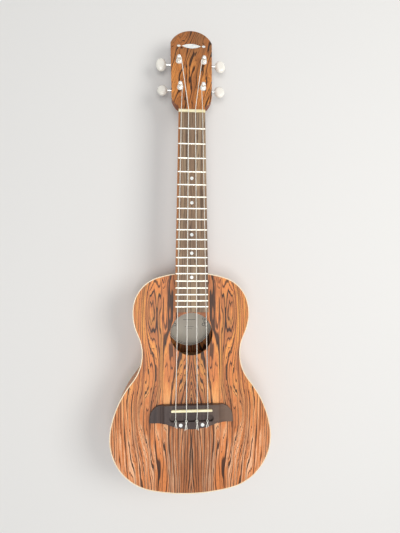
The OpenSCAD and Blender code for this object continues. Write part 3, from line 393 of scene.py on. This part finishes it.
bindingStuff = speckled("ivoryBinding", srgb(246, 228, 196), srgb(236, 212, 174), 60.0, 0.35)
bone = speckled("polishedBone", srgb(252, 244, 208), srgb(242, 228, 178), 90.0, 0.3, edge=0.0005)
pearl = speckled("pearlShell", srgb(250, 248, 240), srgb(222, 228, 230), 420.0, 0.2, Coat_Weight=0.4)
buttonPlastic = speckled("buttonPlastic", srgb(250, 247, 238), srgb(242, 238, 226), 60.0, 0.22, 0.03,
                         Coat_Weight=0.3)
nylon = speckled("clearNylon", srgb(250, 248, 240), srgb(240, 236, 224), 200.0, 0.25, 0.05)
nickel = brushedMetal("brightNickel", srgb(236, 234, 228), 0.24)
steel = brushedMetal("plainSteel", srgb(206, 206, 204), 0.3)
fretMetal = brushedMetal("fretMetal", srgb(244, 240, 226), 0.34)
brass = brushedMetal("turnedBrass", srgb(212, 180, 112), 0.3)


# the label, in millimetres from its middle: a double ring near its edge, plain rules and small rings
labelLook = {
    "middle": (0.0, -280.493), "lower": 1.7, "paper": srgb(236, 230, 216), "shade": srgb(224, 216, 198),
    "ink": srgb(52, 48, 46), "rings": [(31.4, 0.5), (29.6, 0.25)],
    "rules": [(4.0, 9.0, 0.5), (-6.0, 6.5, 0.3), (-9.0, 4.5, 0.25)],
    "beads": [(24.0, 1.5, 2.6, 0.8), (20.6, 5.0, 1.5, 0.6), (20.8, -3.0, 1.9, 0.7), (24.6, -5.6, 1.2, 0.5),
              (25.4, 7.0, 1.1, 0.5)],
    "wornBand": (0.2, 0.45), "wornInk": (0.55, 0.92), "clouds": 45.0, "fibres": 900.0,
}


def labelMaterial(look):
    material, tree, shader = newMaterial("labelPaper", Roughness=0.7, Specular_IOR_Level=0.3)
    at = objectPlace(tree)
    middle = laid(*look["middle"], 0)
    x, y = parts(tree, at)[:2]
    x = calc(tree, "SUBTRACT", x, middle.x)
    y = calc(tree, "SUBTRACT", y, middle.y - look["lower"] / 1000)
    side = calc(tree, "ABSOLUTE", x)

    def ring(alongX, alongY, middleX, middleY, radius, thick):
        du = calc(tree, "SUBTRACT", alongX, middleX / 1000)
        dv = calc(tree, "SUBTRACT", alongY, middleY / 1000)
        distance = calc(tree, "SQRT", calc(tree, "MULTIPLY_ADD", du, du, calc(tree, "MULTIPLY", dv, dv)))
        off = calc(tree, "ABSOLUTE", calc(tree, "SUBTRACT", distance, radius / 1000))
        return calc(tree, "LESS_THAN", off, thick / 2000)

    marks = [ring(x, y, 0, 0, radius, thick) for radius, thick in look["rings"]]
    marks += [ring(side, y, *bead) for bead in look["beads"]]
    for place, half, thick in look["rules"]:
        off = calc(tree, "ABSOLUTE", calc(tree, "SUBTRACT", y, place / 1000))
        marks.append(calc(tree, "MULTIPLY", calc(tree, "LESS_THAN", off, thick / 2000),
                          calc(tree, "LESS_THAN", side, half / 1000)))
    ink = marks[0]
    for mark in marks[1:]:
        ink = calc(tree, "MAXIMUM", ink, mark)
    fibres = noise(tree, at, look["fibres"], 3.0)
    sheet = mixed(tree, noise(tree, at, look["clouds"], 3.0), look["paper"], look["shade"])
    worn = calc(tree, "MULTIPLY", ink, fit(tree, fibres, *look["wornBand"], *look["wornInk"]))
    tree.links.new(mixed(tree, worn, sheet, look["ink"]), shader.inputs["Base Color"])
    bump(tree, shader, fibres, 0.12, 0.0001)
    return material


paper = labelMaterial(labelLook)

finishes = {
    "soundboard": topWood, "back": backWood, "rim_bass": rimWood, "rim_treble": rimWood,
    "neck_block": innerWood, "tail_block": innerWood, "top_linings": innerWood,
    "back_linings": innerWood, "soundboard_braces": innerWood, "back_braces": innerWood,
    "bridge_plate": innerWood, "soundhole_patch": innerWood, "top_binding": bindingStuff,
    "back_binding": bindingStuff, "end_strip": bindingStuff, "label": paper, "neck": neckWood,
    "heel_cap": darkWood, "neck_dowels": innerWood, "headplate": veneerWood, "head_inlay": pearl,
    "fingerboard": boardWood, "frets": fretMetal, "position_dots": pearl, "nut": bone,
    "bridge": darkWood, "saddle": bone, "bridge_bolts": steel, "bridge_nuts": steel,
    "bridge_caps": pearl, "post_bushings": nickel, "tuner_plates": nickel, "plate_screws": steel,
}
for key in "gcea":
    finishes.update({"string_" + key: nylon, "worm_" + key: steel, "button_" + key: buttonPlastic,
                     "post_" + key: nickel, "wheel_" + key: brass, "wheel_screw_" + key: steel})
for name, node in nodes.items():
    node.data.materials.clear()
    node.data.materials.append(finishes[name])
print("finishes set")


# pieces made with geometry nodes
def shapeTree(name, sizes):
    # a tree with a named input for each size
    tree = bpy.data.node_groups.new(name, "GeometryNodeTree")
    tree.interface.new_socket("Start", in_out="INPUT", socket_type="NodeSocketGeometry")
    tree.interface.new_socket("Shape", in_out="OUTPUT", socket_type="NodeSocketGeometry")
    for label, value in sizes.items():
        kind = "NodeSocketInt" if isinstance(value, int) else "NodeSocketFloat"
        tree.interface.new_socket(label, in_out="INPUT", socket_type=kind).default_value = value
    given = tree.nodes.new("NodeGroupInput").outputs
    return tree, {socket.name: socket for socket in given if socket.name}


def endTree(tree, shape, material):
    # the parts of a shape become one mesh of one finish
    shape = add(tree, "GeometryNodeRealizeInstances", {"Geometry": shape})
    shape = add(tree, "GeometryNodeSetMaterial", {"Geometry": shape, "Material": material})
    tree.links.new(shape, tree.nodes.new("NodeGroupOutput").inputs[0])


def smoothed(tree, shape, crease):
    # smooth where faces meet at less than the crease angle
    angle = add(tree, "GeometryNodeInputMeshEdgeAngle")
    return add(tree, "GeometryNodeSetShadeSmooth", {"Geometry": shape, "Selection": calc(
        tree, "LESS_THAN", angle, crease)}, domain="EDGE")


def grow(name, tree, sizes, points, edges=()):
    # runs a tree on a start mesh of points and edges, and keeps the result as a plain mesh
    start = bpy.data.meshes.new(name + "Start")
    start.from_pydata(points, edges, [])
    holder = bpy.data.objects.new(name + "Holder", start)
    bpy.context.scene.collection.objects.link(holder)
    modifier = holder.modifiers.new("shape", "NODES")
    modifier.node_group = tree
    for socket in tree.interface.items_tree:
        if socket.in_out == "INPUT" and socket.name in sizes:
            modifier[socket.identifier] = sizes[socket.name]
    graph = bpy.context.evaluated_depsgraph_get()
    mesh = bpy.data.meshes.new_from_object(holder.evaluated_get(graph), depsgraph=graph)
    bpy.data.objects.remove(holder)
    stuff = next(m for m in mesh.materials if m)
    mesh.materials.clear()
    mesh.materials.append(stuff)
    mesh.polygons.foreach_set("material_index", [0] * len(mesh.polygons))
    piece = bpy.data.objects.new(name, mesh)
    bpy.context.scene.collection.objects.link(piece)
    return piece


def settle(piece, node):
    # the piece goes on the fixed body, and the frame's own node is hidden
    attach(piece, "root")
    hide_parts(node)


# frets by the rule of equal steps, crowned and rounded off at their ends
fretSizes = {"Count": 19, "String length": 0.381, "Nut width": 0.035, "End width": 0.044,
             "End place": 0.260993, "Short of the edge": 0.0003, "Taper": 0.0012}
fretCrown = {"halfWidth": 1.1, "height": 1.0, "shoulder": 0.996, "arcSteps": 14, "tang": 0.5, "depth": 1.8,
             "boardTop": 5.0, "stations": 19, "endSize": 0.2, "crease": 0.6}


def makeFrets():
    tree, given = shapeTree("fretRule", fretSizes)
    step = add(tree, "GeometryNodeInputIndex")
    octaves = calc(tree, "DIVIDE", calc(tree, "ADD", step, 1.0), -12.0)
    fall = calc(tree, "SUBTRACT", 1.0, calc(tree, "POWER", 2.0, octaves))
    place = calc(tree, "MULTIPLY", fall, given["String length"])
    reach = calc(tree, "DIVIDE", place, given["End place"])
    spread = calc(tree, "SUBTRACT", given["End width"], given["Nut width"])
    width = calc(tree, "SUBTRACT", calc(tree, "MULTIPLY_ADD", reach, spread, given["Nut width"]),
                 given["Short of the edge"])
    row = add(tree, "GeometryNodePoints", {"Count": given["Count"], "Position": add(
        tree, "ShaderNodeCombineXYZ", {1: calc(tree, "MULTIPLY", place, -1.0)})})
    # a line of unit length whose stations crowd towards its ends, one for each fret
    rail = add(tree, "GeometryNodeCurvePrimitiveLine", {"Start": (-0.5, 0, 0), "End": (0.5, 0, 0)})
    rail = add(tree, "GeometryNodeResampleCurve", {"Curve": rail, "Count": fretCrown["stations"]})
    share = calc(tree, "MULTIPLY_ADD", add(tree, "GeometryNodeSplineParameter"), pi, -pi / 2)
    crowded = calc(tree, "MULTIPLY", calc(tree, "SINE", share), 0.5)
    rail = add(tree, "GeometryNodeSetPosition", {"Geometry": rail, "Position": add(
        tree, "ShaderNodeCombineXYZ", {0: crowded})})
    rail = add(tree, "GeometryNodeInstanceOnPoints", {"Points": row, "Instance": rail, "Scale": add(
        tree, "ShaderNodeCombineXYZ", {0: width, 1: 1.0, 2: 1.0})})
    rail = add(tree, "GeometryNodeRealizeInstances", {"Geometry": rail})
    # the profile shrinks on a quarter round towards each end
    along = add(tree, "GeometryNodeSplineParameter", out=1)
    whole = add(tree, "GeometryNodeSplineLength")
    nearEnd = calc(tree, "MINIMUM", along, calc(tree, "SUBTRACT", whole, along))
    full = calc(tree, "DIVIDE", nearEnd, given["Taper"], clamp=True)
    full = calc(tree, "MULTIPLY", full, calc(tree, "SUBTRACT", 2.0, full))
    full = calc(tree, "SQRT", calc(tree, "MAXIMUM", full, fretCrown["endSize"] ** 2))
    rail = add(tree, "GeometryNodeSetCurveNormal", {"Curve": rail}, mode="Z_UP")
    profile = add(tree, "GeometryNodeMeshToCurve", {"Mesh": given["Start"]})
    shape = add(tree, "GeometryNodeCurveToMesh", {"Curve": rail, "Profile Curve": profile, "Scale": full,
                                                  "Fill Caps": True})
    shape = smoothed(tree, shape, fretCrown["crease"])
    shape = add(tree, "GeometryNodeTransform", {"Geometry": shape, "Rotation": (-lay["tilt"], 0, 0),
                                                "Translation": laid(0, 0, fretCrown["boardTop"])})
    endTree(tree, shape, fretMetal)

    # the profile, which the sweep turns upside down: an arc over its shoulders, and the tang below
    half, tang, low = fretCrown["halfWidth"], fretCrown["tang"] / 2, -fretCrown["depth"]
    middle, shoulder = fretCrown["height"] - half, half * fretCrown["shoulder"]
    steps = fretCrown["arcSteps"]
    outline = [(half * cos(pi * k / steps), middle + half * sin(pi * k / steps)) for k in range(1, steps)]
    outline = [(shoulder, 0), *outline, (-shoulder, 0), (-tang, 0), (-tang, low), (tang, low), (tang, 0)]
    points = [(-a / 1000, -b / 1000, 0) for a, b in outline]
    edges = [(k, (k + 1) % len(points)) for k in range(len(points))]
    settle(grow("fretWires", tree, fretSizes, points, edges), "frets")


# strings: a loop over the tie block, over saddle and nut, and down round the post
stringRun = {
    "nutSpacing": 9.25, "saddleSpacing": 13.5, "nutHeight": 6.5, "nutLength": 4.5, "nutFall": radians(5),
    "saddlePlace": -384.5, "saddleHeight": 10.8, "saddleHalf": 1.7, "tieFront": -399.1, "tieTop": 7.0,
    "tieHole": 4.4, "bulgeRadius": 77.28, "bulgeMiddle": -331.02, "turns": 2.4, "windingSteps": 58,
    "waistRadius": 2.2, "waistTop": 7.4, "gap": 0.12, "lead": 0.08,
}
stringPosts = {
    "g": {"side": -1, "post": (15.2, 32.7), "thick": 0.76},
    "c": {"side": -1, "post": (16.8, 73.0), "thick": 1.0},
    "e": {"side": 1, "post": (16.8, 73.0), "thick": 0.88},
    "a": {"side": 1, "post": (15.2, 32.7), "thick": 0.7},
}


def tieLoop(number, r):
    # from the free end over the block, round under the string, back over the block and through the hole
    run = stringRun
    x = (number - 1.5) * run["saddleSpacing"]
    back = run["bulgeMiddle"] - sqrt(run["bulgeRadius"] ** 2 - x * x) - 0.1
    front, top, hole = run["tieFront"], run["tieTop"], run["tieHole"]
    middle = (front + back) / 2
    hand = 1 if number % 2 else -1
    tie = [
        (-1.7, back - 1.5, top + 0.1), (-1.3, back + 0.8, top + r), (-0.8, middle, top + r),
        (0.3, front - 0.5, top + r + 0.1), (1.1, front + 0.7, top - 0.6),
        (0.7, front + 1.3, hole + 0.5 - 2 * r), (-0.5, front + 1.5, hole + 0.6 - 2 * r),
        (-1.2, front + 1.0, hole + 1.2), (-1.0, front + 0.2, top + 0.7 * r),
        (-0.4, front - 1.0, top + r + 0.2), (0.3, middle, top + 2.6 * r), (0.8, back + 1.0, top + r + 0.2),
        (0.6, back - r - 0.1, top - 0.6), (0.2, back - r - 0.25, hole + 0.6), (0.0, back + 0.3, hole),
        (0.0, front + 0.4, hole),
    ]
    return [laid(x + hand * a, b, c) for a, b, c in tie]


def stringPath(number, side, post, thick):
    run, r = stringRun, thick / 2
    saddleX, nutX = [(number - 1.5) * run[key] for key in ("saddleSpacing", "nutSpacing")]
    lift, nutTop, past = run["saddleHeight"] + r, run["nutHeight"] + r, run["nutLength"] + 0.3
    path = tieLoop(number, r)
    path += [laid(saddleX, run["saddlePlace"] + end * run["saddleHalf"], lift) for end in (-1, 1)]
    path += [laid(nutX, -0.2, nutTop), laid(nutX, past, nutTop - past * tan(run["nutFall"]))]
    # the string meets its turns on the post at a tangent
    rho = run["waistRadius"] + r + run["gap"]
    away = Vector((side * nutX - post[0], -post[1]))
    start = atan2(away.y, away.x) - acos(rho / away.length)
    for k in range(run["windingSteps"] + 1):
        turn = run["turns"] * k / run["windingSteps"]
        a = start - 2 * pi * turn
        path.append(onHead(side * (post[0] + rho * cos(a)), post[1] + rho * sin(a),
                           run["waistTop"] - r - (thick + run["lead"]) * turn))
    return path


def makeStrings():
    tree, given = shapeTree("stringSweep", {"Radius": 0.0004, "Bend": 0.0009, "Sides": 12})
    path = add(tree, "GeometryNodeMeshToCurve", {"Mesh": given["Start"]})
    path = add(tree, "GeometryNodeFilletCurve", {"Curve": path, "Count": 3, "Radius": given["Bend"],
                                                 "Limit Radius": True}, mode="POLY")
    ring = add(tree, "GeometryNodeCurvePrimitiveCircle", {"Resolution": given["Sides"],
                                                          "Radius": given["Radius"]})
    shape = add(tree, "GeometryNodeCurveToMesh", {"Curve": path, "Profile Curve": ring, "Fill Caps": True})
    shape = add(tree, "GeometryNodeSetShadeSmooth", {"Geometry": shape})
    endTree(tree, shape, nylon)
    for number, (key, string) in enumerate(stringPosts.items()):
        points = stringPath(number, **string)
        edges = [(k, k + 1) for k in range(len(points) - 1)]
        radius = {"Radius": string["thick"] / 2000}
        settle(grow("nylonString_" + key, tree, radius, points, edges), "string_" + key)


# domed screws with a cross, two in each tuner plate; swell rounds the dome, sunk sets the shank's middle
screwSizes = {"Head radius": 0.002, "Head height": 0.0012, "Cross length": 0.0024, "Cross width": 0.00045,
              "Cross depth": 0.0007, "Shank radius": 0.0011, "Shank length": 0.008}
screwShape = {"swell": 4 / 3, "sunk": 0.48, "axis": 0.0000001, "weld": 0.000002, "crease": 0.5,
              "anyTurn": 3.1, "seed": 7}
screwPlaces = {"under": -13.5, "along": (-8.2, 13.375)}


def joined(tree, first, second):
    both = add(tree, "GeometryNodeMeshBoolean", {"Mesh 2": first}, operation="UNION", solver="EXACT")
    tree.links.new(second, both.node.inputs["Mesh 2"])
    return both


def raised(tree, shape, height):
    return add(tree, "GeometryNodeTransform", {"Geometry": shape, "Translation": add(
        tree, "ShaderNodeCombineXYZ", {2: height})})


def makeScrews():
    tree, given = shapeTree("crossScrew", screwSizes)
    # the head: a turned profile sweeps round a tiny circle, so its height counts downwards
    swell = calc(tree, "MULTIPLY", given["Head radius"], screwShape["swell"])
    top = calc(tree, "MULTIPLY", given["Head height"], -1.0)
    dome = add(tree, "GeometryNodeCurvePrimitiveBezierSegment", {
        "Resolution": 20, "Start": add(tree, "ShaderNodeCombineXYZ", {1: top}),
        "Start Handle": add(tree, "ShaderNodeCombineXYZ", {0: swell, 1: top}),
        "End Handle": add(tree, "ShaderNodeCombineXYZ", {0: swell}), "End": (0, 0, 0)})
    axis = add(tree, "GeometryNodeCurvePrimitiveCircle", {"Resolution": 32, "Radius": screwShape["axis"]})
    turned = add(tree, "GeometryNodeCurveToMesh", {"Curve": axis, "Profile Curve": dome})
    turned = add(tree, "GeometryNodeMergeByDistance", {"Geometry": turned, "Distance": screwShape["weld"]})
    # the cross is cut into it, and the shank runs into the wood
    arm = add(tree, "ShaderNodeCombineXYZ", {0: given["Cross length"], 1: given["Cross width"],
                                             2: calc(tree, "MULTIPLY", given["Cross depth"], 2.0)})
    bar = raised(tree, add(tree, "GeometryNodeMeshCube", {"Size": arm}), given["Head height"])
    across = add(tree, "GeometryNodeTransform", {"Geometry": bar, "Rotation": (0, 0, pi / 2)})
    cut = add(tree, "GeometryNodeMeshBoolean", {"Mesh 1": turned, "Mesh 2": joined(tree, bar, across)},
              operation="DIFFERENCE", solver="EXACT")
    shank = add(tree, "GeometryNodeMeshCylinder", {"Vertices": 20, "Radius": given["Shank radius"],
                                                   "Depth": given["Shank length"]})
    shank = raised(tree, shank, calc(tree, "MULTIPLY", given["Shank length"], -screwShape["sunk"]))
    whole = smoothed(tree, joined(tree, cut, shank), screwShape["crease"])
    # each was driven home to an angle of its own
    turnEach = add(tree, "FunctionNodeRandomValue", {2: 0.0, 3: screwShape["anyTurn"],
                                                     "Seed": screwShape["seed"]}, out=1)
    facing = add(tree, "FunctionNodeRotateEuler", {"Rotation": add(
        tree, "ShaderNodeCombineXYZ", {2: turnEach}), "Rotate By": (pi - head["angle"] - lay["tilt"], 0, 0)},
        rotation_type="EULER", space="OBJECT")
    shape = add(tree, "GeometryNodeInstanceOnPoints", {"Points": given["Start"], "Instance": whole,
                                                       "Rotation": facing})
    endTree(tree, shape, steel)
    places = [onHead(string["side"] * string["post"][0], string["post"][1] + along, screwPlaces["under"])
              for string in stringPosts.values() for along in screwPlaces["along"]]
    settle(grow("plateScrews", tree, screwSizes, places), "plate_screws")


def softenButtons():
    # the faces of each button flow into each other
    tree, given = shapeTree("softEdges", {"Angle": 1.0})
    shape = add(tree, "GeometryNodeMergeByDistance", {"Geometry": given["Start"], "Distance": 0.000001})
    shape = add(tree, "GeometryNodeRemoveAttribute", {"Geometry": shape, "Name": "custom_normal"})
    shape = add(tree, "GeometryNodeSetShadeSmooth", {"Geometry": shape}, domain="FACE")
    shape = smoothed(tree, shape, given["Angle"])
    tree.links.new(shape, tree.nodes.new("NodeGroupOutput").inputs[0])
    for key in stringPosts:
        nodes["button_" + key].modifiers.new("softEdges", "NODES").node_group = tree


makeFrets()
makeStrings()
makeScrews()
softenButtons()
print("frets, strings and screws made")


# floor and background
def makeFloor():
    mesh = bpy.data.meshes.new("floor")
    half = studio["floorHalf"]
    mesh.from_pydata([(-half, -half, 0), (half, -half, 0), (half, half, 0), (-half, half, 0)], [],
                     [(0, 1, 2, 3)])
    floor = bpy.data.objects.new("floor", mesh)
    bpy.context.scene.collection.objects.link(floor)
    material, tree, shader = newMaterial("floorPaper", Roughness=0.8)
    at = objectPlace(tree)
    tree.links.new(mixed(tree, noise(tree, at, 3.0), studio["floorColour"], studio["floorShade"]),
                   shader.inputs["Base Color"])
    # far from the instrument the camera sees the floor turn into the white of the room
    away = add(tree, "ShaderNodeVectorMath", {0: at}, out=1, operation="LENGTH")
    far = calc(tree, "MULTIPLY", add(tree, "ShaderNodeLightPath"), fit(tree, away, *studio["floorFade"]))
    glow = add(tree, "ShaderNodeEmission", {"Color": studio["worldColour"], "Strength": 1.0})
    cover = add(tree, "ShaderNodeMixShader", {0: far, 1: shader.outputs[0], 2: glow})
    tree.links.new(cover, tree.nodes["Material Output"].inputs["Surface"])
    mesh.materials.append(material)


def makeWorld():
    # rays from the camera, and those that metal and gloss send back, see a white room
    world = bpy.data.worlds.new("studioWorld")
    world.use_nodes = True
    bpy.context.scene.world = world
    tree = world.node_tree
    background = tree.nodes["Background"]
    background.inputs["Color"].default_value = studio["worldColour"]
    path = tree.nodes.new("ShaderNodeLightPath")
    seen = calc(tree, "MAXIMUM", path.outputs["Is Camera Ray"], path.outputs["Is Glossy Ray"])
    seen = calc(tree, "MAXIMUM", seen, path.outputs["Is Transmission Ray"])
    tree.links.new(fit(tree, seen, 0.0, 1.0, studio["worldLevel"], 1.0, False), background.inputs["Strength"])


makeFloor()
makeWorld()
print("stage made")
